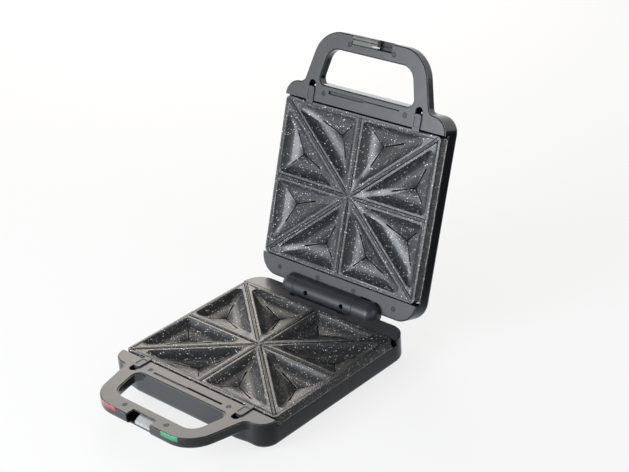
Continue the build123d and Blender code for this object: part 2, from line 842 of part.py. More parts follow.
def wiring(mouth):
    """Two insulated wires from the ends of the heating rod to the terminal block."""
    with BuildPart() as wires:
        for x, drop in ((heater_exit_x, heater_drop), (-heater_exit_x, wire_low_drop)):
            corners = [(x, heater_end_y, -heater_drop), (x, wire_y, -heater_drop)]
            bends = [2 * wire_radius]
            if drop != heater_drop:
                corners.append((x, wire_y, -drop))
                bends.append(2 * wire_radius)
            corners.append((terminal_x, wire_y, -drop))
            with BuildLine(mouth) as path:
                FilletPolyline(*corners, radius=bends)
            with BuildSketch(Plane(origin=path.line @ 0, z_dir=path.line % 0)):
                Circle(wire_radius)
            sweep(path=path.line)
    return wires.part


def screws(mouth, points, top_drop, length, head_radius=screw_head_radius):
    """Pan-head screws whose heads lie with their tops at top_drop."""
    with BuildPart() as group:
        with BuildSketch(mouth.offset(-top_drop)):
            with Locations(*points):
                Circle(head_radius)
        extrude(amount=-screw_head_height)
        with BuildSketch(mouth.offset(-top_drop - screw_head_height)):
            with Locations(*points):
                Circle(screw_radius)
        extrude(amount=-length)
    return group.part


def deck_panel(mouth, front):
    """A deck panel: the half's outline drawn in by a narrow rim, in front of or behind the plate."""
    depth_axis = Axis(mouth.origin, mouth.z_dir)
    reach = 4 * body_half
    with BuildPart() as panel:
        with BuildSketch(mouth.offset(-panel_drop)):
            add(half_outline(panel_inset))
            with Locations((0, reach / 2 - panel_start if front else panel_start - reach / 2)):
                Rectangle(reach, reach, mode=Mode.SUBTRACT)
            if front:
                add(finger_opening(panel_inset), mode=Mode.SUBTRACT)
        extrude(amount=-panel_thickness)
        fillet(panel.faces().sort_by(depth_axis)[-1].edges(), panel_edge_radius)
    return panel.part


def front_panel(name, mouth, side, screw_points):
    """The deck round the handle, with slots for the catches, the stepped slot and screw recesses."""
    with BuildPart() as panel:
        add(deck_panel(mouth, True))
        with BuildSketch(mouth):
            for x in (-catch_x, catch_x):
                with Locations((x, catch_slot_width / 2 - catch_slot_front)):
                    Circle(catch_slot_width / 2)
                with Locations((x, -half_depth)):
                    Rectangle(
                        catch_slot_width,
                        catch_slot_front - half_depth - catch_slot_width / 2,
                        align=(Align.CENTER, Align.MAX),
                    )
            with Locations((side * (slot_left + slot_middle) / 2, -slot_left_y[name])):
                Rectangle(slot_middle - slot_left, slot_left_width[name])
            with Locations((side * (slot_middle + slot_right) / 2, -slot_right_y[name])):
                Rectangle(slot_right - slot_middle + fit, slot_right_width[name])
            with Locations(*screw_points):
                Circle(screw_radius)
        extrude(amount=-2 * panel_floor, mode=Mode.SUBTRACT)
        with BuildSketch(mouth):
            with Locations(*screw_points):
                Circle(screw_head_radius + fit)
        extrude(amount=-(panel_drop + screw_head_height), mode=Mode.SUBTRACT)
    return panel.part


def slot_filler(name, mouth, side):
    """A strip that closes most of the slot's left half, held by a lip under the panel."""
    length = slot_middle - slot_left
    strip_from = slot_left + filler_end_gap[name]
    strip_to = slot_middle - fit
    strip_front = slot_left_y[name] + slot_left_width[name] / 2 - fit
    strip_back = slot_left_y[name] - slot_left_width[name] / 2 + filler_side_gap[name]
    with BuildPart() as strip:
        with BuildSketch(mouth.offset(-panel_drop - filler_drop)):
            with Locations((side * (strip_from + strip_to) / 2, -(strip_front + strip_back) / 2)):
                Rectangle(strip_to - strip_from, strip_front - strip_back)
        extrude(amount=filler_drop - panel_thickness)
        with BuildSketch(mouth.offset(-panel_floor)):
            with Locations((side * (slot_left + slot_middle) / 2, -slot_left_y[name])):
                Rectangle(length + 2, slot_left_width[name] + 2)
        extrude(amount=-rim_width)
    return strip.part


def catch(mouth, x):
    """A sliding catch: a thumb tab in its slot, a nose over the plate's border and a tail for the spring."""
    tab_width = catch_slot_width - 2 * fit
    tab_length = catch_tab_front - half_depth - 2 * fit
    with BuildPart() as slider:
        with BuildSketch(mouth.offset(catch_proud)) as tab:
            with Locations((x, -half_depth - 2 * fit)):
                Rectangle(tab_width, tab_length, align=(Align.CENTER, Align.MAX))
            fillet(tab.vertices().group_by(Axis.Y)[0], catch_corner)
        extrude(amount=-(catch_proud + panel_floor + fit))
        with BuildSketch(mouth.offset(catch_proud)):
            with Locations((x, -half_depth - 1)):
                Rectangle(tab_width, catch_bite + 1 - 2 * fit, align=(Align.CENTER, Align.MIN))
        extrude(amount=-(catch_proud + catch_step - fit))
        with BuildSketch(mouth.offset(-panel_floor - fit)):
            with Locations((x, -panel_start - 2 * partition)):
                Rectangle(2 * catch_flange_half, 2 * catch_travel, align=(Align.CENTER, Align.MAX))
        extrude(amount=-partition)
        with BuildSketch(mouth.offset(-panel_floor - fit)):
            with Locations((x, -panel_start - 2 * partition)):
                Rectangle(catch_tail_width, catch_travel, align=(Align.CENTER, Align.MAX))
        extrude(amount=panel_floor + fit - catch_tail_drop)
        with BuildSketch(mouth.offset(catch_proud)):
            with Locations((x, -(half_depth + catch_tab_front) / 2)):
                RectangleRounded(tab_width - 2 * catch_step, tab_length - 2 * catch_corner, 1)
        extrude(amount=-thumb_recess, mode=Mode.SUBTRACT)
    return slider.part


def catch_springs(mouth):
    """Springs between the tails of the catches and the front wall, drawn as plain sleeves."""
    spring_from = panel_start + 2 * partition + catch_travel
    wall_inside = finger_back - wall
    with BuildPart() as springs:
        with BuildSketch(facing_handle(mouth, -spring_from)):
            with Locations((-catch_x, -spring_drop), (catch_x, -spring_drop)):
                Circle(spring_radius)
                Circle(spring_radius - spring_wire, mode=Mode.SUBTRACT)
        extrude(amount=wall_inside - spring_from)
    return springs.part


for name, mouth, side, depth, rear_points in (
    ("base", base_mouth, 1, base_depth, []),
    ("lid", lid_mouth, -1, lid_depth, rear_screw_points),
):
    with BuildPart() as plate:
        add(cooking_plate(mouth))
    save(plate, f"{name}_plate")

    with BuildPart() as pan:
        add(reflector(mouth))
    save(pan, f"{name}_reflector")

    with BuildPart() as rod:
        add(heater(mouth))
    save(rod, f"{name}_heater")

    with BuildPart() as clips:
        add(heater_clips(mouth))
    save(clips, f"{name}_heater_clips")

    with BuildPart() as wires:
        add(wiring(mouth))
    save(wires, f"{name}_wiring")

    # terminal block on the housing's floor, where the wires end
    with BuildPart() as terminals:
        add(
            box_between(
                mouth,
                (terminal_x, wire_y - wire_radius, floor - depth),
                (
                    terminal_x + terminal_length,
                    wire_y + terminal_depth,
                    wire_radius + terminal_cover - heater_drop,
                ),
            )
        )
    save(terminals, f"{name}_terminal_block")

    # thermostat disc on the pan's floor
    with BuildPart() as thermostat:
        with BuildSketch(mouth.offset(sheet - pan_drop)):
            with Locations((thermostat_x, 0)):
                Circle(thermostat_flange_radius)
        extrude(amount=thermostat_flange)
        with BuildSketch(mouth.offset(sheet - pan_drop + thermostat_flange)):
            with Locations((thermostat_x, 0)):
                Circle(thermostat_can_radius)
        extrude(amount=thermostat_can)
    save(thermostat, f"{name}_thermostat")

    with BuildPart() as filler:
        add(slot_filler(name, mouth, side))
    save(filler, f"{name}_slot_filler")

    for hand, x in (("left", -side * catch_x), ("right", side * catch_x)):
        with BuildPart() as slider:
            add(catch(mouth, x))
        save(slider, f"{name}_catch_{hand}")

    with BuildPart() as springs:
        add(catch_springs(mouth))
    save(springs, f"{name}_catch_springs")

    with BuildPart() as deck_screws:
        points = front_screw_points + handle_screw_points + rear_points
        add(screws(mouth, points, panel_drop, deck_screw_length))
    save(deck_screws, f"{name}_deck_screws")

    with BuildPart() as pan_screws:
        top = pan_drop - sheet - screw_head_height
        add(screws(mouth, reflector_screw_points, top, reflector_screw_length))
    save(pan_screws, f"{name}_reflector_screws")

# ---------------------------------------------------------------- deck panels

with BuildPart() as base_handle_panel:
    add(front_panel("base", base_mouth, 1, front_screw_points + handle_screw_points))
    add(
        box_between(
            base_mouth,
            (notch_left, -grip_front - 1, -panel_floor - 1),
            (notch_right, -notch_back, 1),
        ),
        mode=Mode.SUBTRACT,
    )
save(base_handle_panel, "base_handle_panel")

with BuildPart() as lid_handle_panel:
    add(front_panel("lid", lid_mouth, -1, front_screw_points + handle_screw_points))
    add(
        box_between(
            lid_mouth,
            (-recess_right, -grip_front - 1, -panel_floor - 1),
            (-recess_left, -recess_back, 1),
        ),
        mode=Mode.SUBTRACT,
    )
save(lid_handle_panel, "lid_handle_panel")

with BuildPart() as base_rear_panel:
    add(deck_panel(base_mouth, False))
    add(
        box_between(
            base_mouth,
            (barrel_left - knuckle_gap, recess_front_y, -panel_floor - 1),
            (barrel_right + knuckle_gap, body_back + 1, 1),
        ),
        mode=Mode.SUBTRACT,
    )
    for notch_from, notch_to in recess_notches:
        add(
            box_between(
                base_mouth,
                (notch_from, recess_front_y - recess_notch_depth, -panel_floor - 1),
                (notch_to, recess_front_y + 1, 1),
            ),
            mode=Mode.SUBTRACT,
        )
    for side in (-1, 1):
        add(knuckle_drum(side, seat_radius, fit), mode=Mode.SUBTRACT)
save(base_rear_panel, "base_rear_panel")

with BuildPart() as lid_rear_panel:
    add(deck_panel(lid_mouth, False))
    add(barrel_drum(seat_radius, fit), mode=Mode.SUBTRACT)
    for side in (-1, 1):
        add(knuckle_drum(side, barrel_well, swing_clearance), mode=Mode.SUBTRACT)
    with BuildSketch(lid_mouth):
        with Locations(*rear_screw_points):
            Circle(screw_radius)
    extrude(amount=-2 * panel_floor, mode=Mode.SUBTRACT)
    with BuildSketch(lid_mouth):
        with Locations(*rear_screw_points):
            Circle(screw_head_radius + fit)
    extrude(amount=-(panel_drop + screw_head_height), mode=Mode.SUBTRACT)
save(lid_rear_panel, "lid_rear_panel")

# ---------------------------------------------------------------- hinge

knuckle_spans = {
    "left": (knuckle_left_end, barrel_left - knuckle_gap),
    "right": (barrel_right + knuckle_gap, knuckle_right_end),
}
for hand, side in (("left", -1), ("right", 1)):
    start, end = knuckle_spans[hand]
    inner = end if side < 0 else start
    outer = start if side < 0 else end
    foot_start = inner if side > 0 else outer + knuckle_dome / 2
    foot_end = outer - knuckle_dome / 2 if side > 0 else inner
    with BuildPart() as knuckle:
        add(knuckle_drum(side, barrel_radius))
        with BuildSketch(on_hinge(foot_start)):
            with BuildLine():
                lean = radians(foot_lean)
                Polyline(
                    (0, 0),
                    (barrel_radius * cos(lean), -barrel_radius * sin(lean)),
                    (body_back - hinge_y + knuckle_foot_thickness, -knuckle_foot_bottom),
                    (body_back - hinge_y, -knuckle_foot_bottom),
                    (body_back - hinge_y, 0),
                    close=True,
                )
            make_face()
        extrude(amount=foot_end - foot_start)
        # a rib just under the back wall of the open lid, which comes to rest on it
        with BuildSketch(on_hinge((foot_start + foot_end - stop_width) / 2)):
            with BuildLine():
                top = hinge_y - body_back - fit
                Polyline(
                    *[
                        (along * swing_sin - above * swing_cos, along * swing_cos + above * swing_sin)
                        for along, above in (
                            (pin_radius + wall, top),
                            (stop_reach, top),
                            (stop_reach, top - stop_height),
                            (barrel_radius - wall, top - 2 * stop_height),
                        )
                    ],
                    close=True,
                )
            make_face()
        extrude(amount=stop_width)
        deep = inner + side * pin_in_knuckle
        add(drum(min(inner - side, deep), max(inner - side, deep), pin_radius), mode=Mode.SUBTRACT)
        with BuildSketch(facing_handle(base_mouth, body_back + knuckle_screw_bite)):
            with Locations((knuckle_screw_x[0] if side < 0 else knuckle_screw_x[1], -knuckle_screw_drop)):
                Circle(screw_radius)
        extrude(amount=knuckle_screw_bite, mode=Mode.SUBTRACT)
    save(knuckle, f"hinge_knuckle_{hand}")

with BuildPart() as knuckle_screws:
    with BuildSketch(facing_handle(base_mouth, body_back - wall)):
        with Locations(*[(x, -knuckle_screw_drop) for x in knuckle_screw_x]):
            Circle(screw_head_radius)
    extrude(amount=screw_head_height)
    with BuildSketch(facing_handle(base_mouth, body_back + knuckle_screw_bite - fit)):
        with Locations(*[(x, -knuckle_screw_drop) for x in knuckle_screw_x]):
            Circle(screw_radius)
    extrude(amount=wall + knuckle_screw_bite - fit)
save(knuckle_screws, "hinge_knuckle_screws")

pin_spans = [
    (barrel_left - knuckle_gap - pin_in_knuckle, barrel_left - knuckle_gap - pin_in_knuckle + pin_length),
    (barrel_right + knuckle_gap + pin_in_knuckle - pin_length, barrel_right + knuckle_gap + pin_in_knuckle),
]
with BuildPart() as hinge_pins:
    for start, end in pin_spans:
        add(drum(start, end, pin_radius))
    for start, end in pin_spans:
        add(drum(start, end, pin_bore), mode=Mode.SUBTRACT)
save(hinge_pins, "hinge_pins")

with BuildPart() as hinge_barrel:
    add(barrel_drum(barrel_radius))
    add(
        box_between(
            lid_mouth,
            (-2 * body_half, hinge_y - barrel_radius, plate_gap - 2 * barrel_radius),
            (2 * body_half, hinge_y + barrel_radius, plate_gap - barrel_flat),
        ),
        mode=Mode.SUBTRACT,
    )
    for start, end in pin_spans:
        bore_start = barrel_left - 1 if end < 0 else start - fit
        bore_end = end + fit if end < 0 else barrel_right + 1
        add(drum(bore_start, bore_end, pin_radius + pin_running_clearance), mode=Mode.SUBTRACT)
    with BuildSketch(lid_mouth.offset(plate_gap)):
        with Locations(*[(-x, hinge_y) for x in barrel_screw_x]):
            Circle(barrel_screw_mouth)
    extrude(amount=2 * barrel_radius, mode=Mode.SUBTRACT)
    with BuildSketch(lid_mouth.offset(plate_gap)):
        with Locations(*[(-x, hinge_y) for x in barrel_screw_x]):
            Circle(screw_radius)
    extrude(amount=-2 * barrel_radius, mode=Mode.SUBTRACT)
save(hinge_barrel, "hinge_barrel")

with BuildPart() as barrel_screws:
    points = [(-x, hinge_y) for x in barrel_screw_x]
    add(screws(lid_mouth, points, -plate_gap - screw_head_height, barrel_flat + deck_screw_length))
save(barrel_screws, "hinge_barrel_screws")

# ---------------------------------------------------------------- lock, keeper, lamps, inlet, fuse, feet

with BuildPart() as lock_slider:
    with BuildSketch(across(lid_mouth, -knob_right)):
        with BuildLine():
            strip_from = -recess_back - 2 * fit
            ridge_from = strip_from - knob_strip
            groove_from = ridge_from - knob_ridge
            grip_from = groove_from - knob_groove
            grip_top = fit - panel_drop
            Polyline(
                (strip_from, fit - recess_drop),
                (strip_from, -knob_strip_drop),
                (ridge_from, -knob_strip_drop),
                (ridge_from, grip_top),
                (groove_from, grip_top),
                (groove_from, grip_top - knob_groove_depth),
                (grip_from, grip_top - knob_groove_depth),
                (grip_from, grip_top),
                (knob_bevel - grip_front, grip_top),
                (-grip_front - fit, grip_top - knob_bevel - fit),
                (-grip_front - fit, fit - recess_drop),
                close=True,
            )
        make_face()
    extrude(amount=knob_right - knob_left)
save(lock_slider, "lid_lock_slider")

with BuildPart() as lock_hook:
    with BuildSketch(facing_handle(lid_mouth, -hook_y)):
        with BuildLine():
            Polyline(
                (-knob_right, -recess_drop + 2 * fit),
                (-knob_right, hook_reach),
                (-hook_end, hook_reach),
                (-hook_end, hook_reach - hook_toe),
                (-knob_right - hook_stem, hook_reach - hook_toe),
                (-knob_right - hook_stem, -recess_drop + 2 * fit),
                close=True,
            )
        make_face()
    extrude(amount=hook_sheet)
save(lock_hook, "lid_lock_hook")

with BuildPart() as latch_keeper:
    with BuildSketch(across(base_mouth, keeper_left)):
        with BuildLine():
            Polyline(
                (-notch_back - keeper_gap, -keeper_top_drop),
                (-grip_front + notch_setback, -keeper_front_drop),
                (-grip_front + notch_setback, grip_floor - grip_depth),
                (-notch_back + keeper_shelf, grip_floor - grip_depth),
                (-notch_back + keeper_shelf, -keeper_top_drop),
                close=True,
            )
        make_face()
    extrude(amount=notch_right - fit - keeper_left)
save(latch_keeper, "base_latch_keeper")

for name, side, height in (
    ("power_lens_red", -1, red_lens_height),
    ("ready_lens_green", 1, green_lens_height),
):
    with BuildPart() as lamp_lens:
        add(lens(side, height))
    save(lamp_lens, name)

with BuildPart() as lamps:
    for x in (-lamp_x, lamp_x):
        with BuildSketch(across(base_mouth, x - lamp_length / 2)):
            with Locations((lamp_radius + lens_thickness + 2 * fit - grip_front, -lamp_drop)):
                Circle(lamp_radius)
        extrude(amount=lamp_length)
save(lamps, "indicator_lamps")

with BuildPart() as cord_inlet:
    with BuildSketch(facing_handle(base_mouth, body_back + inlet_flange)):
        with Locations((inlet_x, -inlet_drop)):
            Circle(inlet_radius + inlet_flange)
    extrude(amount=inlet_flange)
    with BuildSketch(facing_handle(base_mouth, body_back)):
        with Locations((inlet_x, -inlet_drop)):
            Circle(inlet_radius)
    extrude(amount=wall + inlet_flange)
    with BuildSketch(facing_handle(base_mouth, body_back + inlet_flange)):
        with Locations((inlet_x, -inlet_drop)):
            Circle(inlet_bore)
    extrude(amount=wall + 2 * inlet_flange, mode=Mode.SUBTRACT)
save(cord_inlet, "cord_inlet_bush")

with BuildPart() as thermal_fuse:
    with BuildSketch(across(base_mouth, fuse_x)):
        with Locations((0, sheet - pan_drop + fuse_radius)):
            Circle(fuse_radius)
    extrude(amount=fuse_length)
save(thermal_fuse, "thermal_fuse")

with BuildPart() as feet:
    foot_points = [(x, y) for x in (-foot_x, foot_x) for y in (-foot_front_y, foot_back_y)]
    with BuildSketch(base_mouth.offset(-base_depth)):
        with Locations(*foot_points):
            Circle(foot_radius)
    extrude(amount=-foot_height, taper=foot_taper)
save(feet, "feet")
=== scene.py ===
# %% [markdown]
# # A folding sandwich toaster, finished
# The pieces of this toaster come from its construction model: housings, cooking plates, hinge, catches.
# Here they get the surfaces of the real thing: a speckled non-stick coating, satin and glossy black
# mouldings, bright reflector steel, and clear lamp lenses. Everything is in metres, in the model's own frame.

# %% Load the construction model
import json
from math import atan2, cos, radians, sin, tan

import bpy
from mathutils import Matrix, Vector

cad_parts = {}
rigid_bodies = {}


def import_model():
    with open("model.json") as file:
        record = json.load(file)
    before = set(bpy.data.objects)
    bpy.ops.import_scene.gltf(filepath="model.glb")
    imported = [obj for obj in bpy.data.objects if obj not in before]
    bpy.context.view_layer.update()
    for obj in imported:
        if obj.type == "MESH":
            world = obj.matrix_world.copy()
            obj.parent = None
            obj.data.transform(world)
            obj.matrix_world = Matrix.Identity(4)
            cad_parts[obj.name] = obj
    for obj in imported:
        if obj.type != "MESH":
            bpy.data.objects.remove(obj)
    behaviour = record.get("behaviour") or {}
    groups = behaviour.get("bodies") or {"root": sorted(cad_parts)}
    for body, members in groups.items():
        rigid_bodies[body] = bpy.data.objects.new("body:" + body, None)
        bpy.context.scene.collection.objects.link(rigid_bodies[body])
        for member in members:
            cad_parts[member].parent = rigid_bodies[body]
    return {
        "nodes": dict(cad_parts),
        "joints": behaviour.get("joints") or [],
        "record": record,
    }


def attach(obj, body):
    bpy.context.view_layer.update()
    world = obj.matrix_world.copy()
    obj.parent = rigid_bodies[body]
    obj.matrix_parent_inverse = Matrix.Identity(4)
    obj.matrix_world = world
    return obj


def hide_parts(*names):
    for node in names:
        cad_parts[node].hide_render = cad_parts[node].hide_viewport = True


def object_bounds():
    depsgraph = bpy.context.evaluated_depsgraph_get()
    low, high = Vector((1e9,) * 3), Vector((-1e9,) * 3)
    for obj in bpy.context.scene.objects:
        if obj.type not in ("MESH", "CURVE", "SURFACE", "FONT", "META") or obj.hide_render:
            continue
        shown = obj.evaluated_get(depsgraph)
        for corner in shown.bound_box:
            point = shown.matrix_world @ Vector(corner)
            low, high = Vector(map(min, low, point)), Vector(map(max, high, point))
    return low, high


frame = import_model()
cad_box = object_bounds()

nodes = frame["nodes"]
body_of = {node: body for body, members in frame["record"]["behaviour"]["bodies"].items() for node in members}
slot_of = {entry["node"]: entry["material_slot"] for entry in frame["record"]["subparts"]}
MM = 0.001

# %% [markdown]
# The toaster stands on four feet. The middle of the base's cooking plate is the place that the camera was
# worked out from: it lies 27 mm in front of the model's origin, at the height of the plate's face.

# %% The camera
plate_centre = Vector((0.0, -27.0, 38.0)) * MM
camera_turn = radians(43.54)
camera_rise = radians(27.0)
camera_roll = radians(-4.03)
camera_place = plate_centre + Vector((1090.4, -1036.0, 906.9)) * MM
focal_length = 82.27  # mm, on a sensor 36 mm wide

camera_data = bpy.data.cameras.new("studio_camera")
camera_data.lens = focal_length
camera_data.sensor_width = 36.0
camera_data.clip_end = 20.0
camera = bpy.data.objects.new("studio_camera", camera_data)
bpy.context.scene.collection.objects.link(camera)
back = Vector((sin(camera_turn) * cos(camera_rise), -cos(camera_turn) * cos(camera_rise), sin(camera_rise)))
level_right = Vector((cos(camera_turn), sin(camera_turn), 0.0))
level_up = back.cross(level_right)
right = level_right * cos(camera_roll) + level_up * sin(camera_roll)
up = level_up * cos(camera_roll) - level_right * sin(camera_roll)
camera.matrix_world = Matrix.Translation(camera_place) @ Matrix((right, up, back)).transposed().to_4x4()
bpy.context.scene.camera = camera
bpy.context.scene.view_settings.view_transform = "Standard"
print("camera at", [round(c, 3) for c in camera.location])

# %% [markdown]
# The light is that of a product photograph. A white surround shines from all round, but its ceiling is
# dim: black plastic only looks black where it mirrors something dark. Broad lamps then draw the gloss. The
# surround is white for the camera, so the background stays white without washing out the object.

# %% The surround
surround_light = 0.40  # what the surround gives as plain light
ceiling_light = 0.10  # what gloss finds overhead
ceiling_from, ceiling_to = 0.30, 0.75  # how high the white horizon reaches, as the height of a unit direction


def largest(tree, first, second):
    """The larger of two sockets."""
    both = tree.nodes.new("ShaderNodeMath")
    both.operation = "MAXIMUM"
    tree.links.new(first, both.inputs[0])
    tree.links.new(second, both.inputs[1])
    return both.outputs[0]


def stretched(tree, value, from_low, from_high, to_low, to_high):
    """A value stretched from one range to another, and kept inside it."""
    stretch = tree.nodes.new("ShaderNodeMapRange")
    tree.links.new(value, stretch.inputs["Value"])
    ends = {"From Min": from_low, "From Max": from_high, "To Min": to_low, "To Max": to_high}
    for socket, number in ends.items():
        if isinstance(number, bpy.types.NodeSocket):
            tree.links.new(number, stretch.inputs[socket])
        else:
            stretch.inputs[socket].default_value = number
    return stretch.outputs["Result"]


surround = bpy.data.worlds.new("white_surround")
surround.use_nodes = True
bpy.context.scene.world = surround
tree = surround.node_tree
path = tree.nodes.new("ShaderNodeLightPath")
heading = tree.nodes.new("ShaderNodeSeparateXYZ")
tree.links.new(tree.nodes.new("ShaderNodeTexCoord").outputs["Generated"], heading.inputs["Vector"])
ceiling = stretched(tree, heading.outputs["Z"], ceiling_from, ceiling_to, 1.0, ceiling_light)
mirrored = largest(tree, path.outputs["Is Glossy Ray"], path.outputs["Is Transmission Ray"])
strength = stretched(tree, mirrored, 0.0, 1.0, surround_light, ceiling)
strength = stretched(tree, path.outputs["Is Camera Ray"], 0.0, 1.0, strength, 1.0)
tree.nodes["Background"].inputs["Color"].default_value = (1.0, 1.0, 1.0, 1.0)
tree.links.new(strength, tree.nodes["Background"].inputs["Strength"])
print("surround ready")

# %% [markdown]
# Three lamps: a cool one low in front on the left, which the lid's satin face mirrors; a warm one behind on
# the left, which the base's level surfaces mirror; and a weak one on the right for the edges.

# %% The lamps
cool_white = (0.90, 0.95, 1.0)
warm_white = (1.0, 0.94, 0.86)


def soft_lamp(name, place, target, size, power, colour):
    """A broad square lamp that faces the target."""
    lamp_data = bpy.data.lights.new(name, "AREA")
    lamp_data.shape = "SQUARE"
    lamp_data.size = size
    lamp_data.energy = power
    lamp_data.color = colour
    lamp = bpy.data.objects.new(name, lamp_data)
    lamp.location = place
    lamp.rotation_euler = (Vector(target) - Vector(place)).to_track_quat("-Z", "Y").to_euler()
    bpy.context.scene.collection.objects.link(lamp)
    return lamp


soft_lamp("front_lamp", (-0.45, -1.35, 0.55), (0.0, 0.0, 0.15), 0.8, 21.0, cool_white)
soft_lamp("back_lamp", (-1.20, 1.15, 0.95), (0.0, -0.1, 0.05), 1.2, 17.0, warm_white)
soft_lamp("side_lamp", (1.7, 0.1, 0.9), (0.0, 0.0, 0.15), 0.7, 3.0, (1.0, 1.0, 1.0))
print(len(bpy.data.lights), "lamps")

# %% [markdown]
# The floor is a plain white sheet. Part of its white comes from the light that falls on it, which keeps the
# soft shadow under the toaster, and most is the same even white as the surround. What gloss finds in it fades
# from white in front on the left to dark on the right, as with a black card laid beside the object.

# %% The floor
floor_size = 8.0
floor_grey = 0.88  # what share of the light the sheet gives back
even_share = 0.78  # how much of the white that the camera sees is even
fade_from, fade_to = 0.0, 0.22  # metres to the right of the middle
fade_bright, fade_dark = 1.2, 0.04


def deselect_all():
    """Operators act on everything that is selected, and loading leaves the whole model selected."""
    for thing in bpy.context.view_layer.objects:
        thing.select_set(False)


deselect_all()
bpy.ops.mesh.primitive_plane_add(size=floor_size, location=(0.0, 0.0, cad_box[0].z))
floor = bpy.context.object
floor.name = "studio_floor"
floor_white = bpy.data.materials.new("floor_white")
floor_white.use_nodes = True
tree = floor_white.node_tree
tree.nodes.clear()
path = tree.nodes.new("ShaderNodeLightPath")
paper = tree.nodes.new("ShaderNodeBsdfDiffuse")
paper.inputs["Color"].default_value = (floor_grey, floor_grey, floor_grey, 1.0)
even_white = tree.nodes.new("ShaderNodeEmission")
spot = tree.nodes.new("ShaderNodeSeparateXYZ")
tree.links.new(tree.nodes.new("ShaderNodeTexCoord").outputs["Object"], spot.inputs["Vector"])
mirrored_floor = tree.nodes.new("ShaderNodeEmission")
mirrored_floor.inputs["Color"].default_value = (*cool_white, 1.0)
fade = stretched(tree, spot.outputs["X"], fade_from, fade_to, fade_bright, fade_dark)
tree.links.new(fade, mirrored_floor.inputs["Strength"])
seen = tree.nodes.new("ShaderNodeMixShader")
tree.links.new(stretched(tree, path.outputs["Is Camera Ray"], 0.0, 1.0, 0.0, even_share), seen.inputs["Fac"])
tree.links.new(paper.outputs[0], seen.inputs[1])
tree.links.new(even_white.outputs[0], seen.inputs[2])
found = tree.nodes.new("ShaderNodeMixShader")
mirrored = largest(tree, path.outputs["Is Glossy Ray"], path.outputs["Is Transmission Ray"])
tree.links.new(mirrored, found.inputs["Fac"])
tree.links.new(seen.outputs[0], found.inputs[1])
tree.links.new(mirrored_floor.outputs[0], found.inputs[2])
output = tree.nodes.new("ShaderNodeOutputMaterial")
tree.links.new(found.outputs[0], output.inputs["Surface"])
floor.data.materials.append(floor_white)
print("floor at", round(floor.location.z, 4))

# %% [markdown]
# Real surfaces are never perfectly even. Three effects are shared by most of this toaster's finishes, so each
# is made once as a node group: the fine grain of a mould, the slow drift in gloss that handling leaves, and
# softly rounded edges with a mask that paints them lighter, partly for wear and partly as a painted
# highlight.
# Each group gives out plain values, which a finish then mixes into its own shader.

# %% Helpers for shader node groups
def new_group(name, inputs, outputs):
    """An empty shader node group with named sockets; each input comes with its starting value."""
    group = bpy.data.node_groups.new(name, "ShaderNodeTree")
    for socket, value in inputs.items():
        made = group.interface.new_socket(socket, in_out="INPUT", socket_type="NodeSocketFloat")
        made.default_value = value
    for socket, kind in outputs.items():
        group.interface.new_socket(socket, in_out="OUTPUT", socket_type=kind)
    group.nodes.new("NodeGroupInput")
    group.nodes.new("NodeGroupOutput")
    return group


def math_node(tree, operation, first, second=0.0, clamp=False):
    """One step of arithmetic; each side is a socket or a plain number."""
    step = tree.nodes.new("ShaderNodeMath")
    step.operation = operation
    step.use_clamp = clamp
    for socket, value in zip(step.inputs, (first, second)):
        if isinstance(value, bpy.types.NodeSocket):
            tree.links.new(value, socket)
        else:
            socket.default_value = value
    return step.outputs[0]


def place_coordinates(tree):
    """Object coordinates: metres, fixed to the piece."""
    return tree.nodes.new("ShaderNodeTexCoord").outputs["Object"]


def noise(tree, scale, detail=2.0, roughness=0.5):
    """Cloudy noise around 0.5, with cells about 1/scale metres across."""
    clouds = tree.nodes.new("ShaderNodeTexNoise")
    clouds.inputs["Detail"].default_value = detail
    clouds.inputs["Roughness"].default_value = roughness
    if isinstance(scale, bpy.types.NodeSocket):
        tree.links.new(scale, clouds.inputs["Scale"])
    else:
        clouds.inputs["Scale"].default_value = scale
    tree.links.new(place_coordinates(tree), clouds.inputs["Vector"])
    return clouds.outputs["Fac"]


print("helpers ready")

# %% Mould grain, handled gloss, and edges with wear and a painted highlight
mould_grain = new_group("mould_grain", {"Grain": 2500.0}, {"Height": "NodeSocketFloat"})
inputs, outputs = mould_grain.nodes["Group Input"], mould_grain.nodes["Group Output"]
mould_grain.links.new(noise(mould_grain, inputs.outputs["Grain"], detail=3.0), outputs.inputs["Height"])

handled_gloss = new_group(
    "handled_gloss", {"Roughness": 0.4, "Drift": 0.08}, {"Roughness": "NodeSocketFloat"}
)
inputs, outputs = handled_gloss.nodes["Group Input"], handled_gloss.nodes["Group Output"]
smears = noise(handled_gloss, 28.0, detail=6.0, roughness=0.65)
centred = math_node(handled_gloss, "SUBTRACT", smears, 0.5)
drift = math_node(handled_gloss, "MULTIPLY", centred, inputs.outputs["Drift"])
drifted = math_node(handled_gloss, "ADD", inputs.outputs["Roughness"], drift)
handled_gloss.links.new(drifted, outputs.inputs["Roughness"])

edge_radius = 0.5 * MM
soft_edges = new_group("soft_edges", {}, {"Normal": "NodeSocketVector", "Edge": "NodeSocketFloat"})
outputs = soft_edges.nodes["Group Output"]
rounded_normal = soft_edges.nodes.new("ShaderNodeBevel")
rounded_normal.samples = 4
rounded_normal.inputs["Radius"].default_value = edge_radius
true_normal = soft_edges.nodes.new("ShaderNodeNewGeometry")
alike = soft_edges.nodes.new("ShaderNodeVectorMath")
alike.operation = "DOT_PRODUCT"
soft_edges.links.new(rounded_normal.outputs["Normal"], alike.inputs[0])
soft_edges.links.new(true_normal.outputs["Normal"], alike.inputs[1])
# the Edge mask marks rounded edges, which the finishes paint lighter: partly wear, partly a painted highlight
edge = stretched(soft_edges, alike.outputs["Value"], 0.98, 0.75, 0.0, 1.0)
patches = stretched(soft_edges, noise(soft_edges, 90.0, detail=4.0), 0.35, 0.65, 0.3, 1.0)
soft_edges.links.new(rounded_normal.outputs["Normal"], outputs.inputs["Normal"])
soft_edges.links.new(math_node(soft_edges, "MULTIPLY", edge, patches), outputs.inputs["Edge"])
print([group.name for group in bpy.data.node_groups])

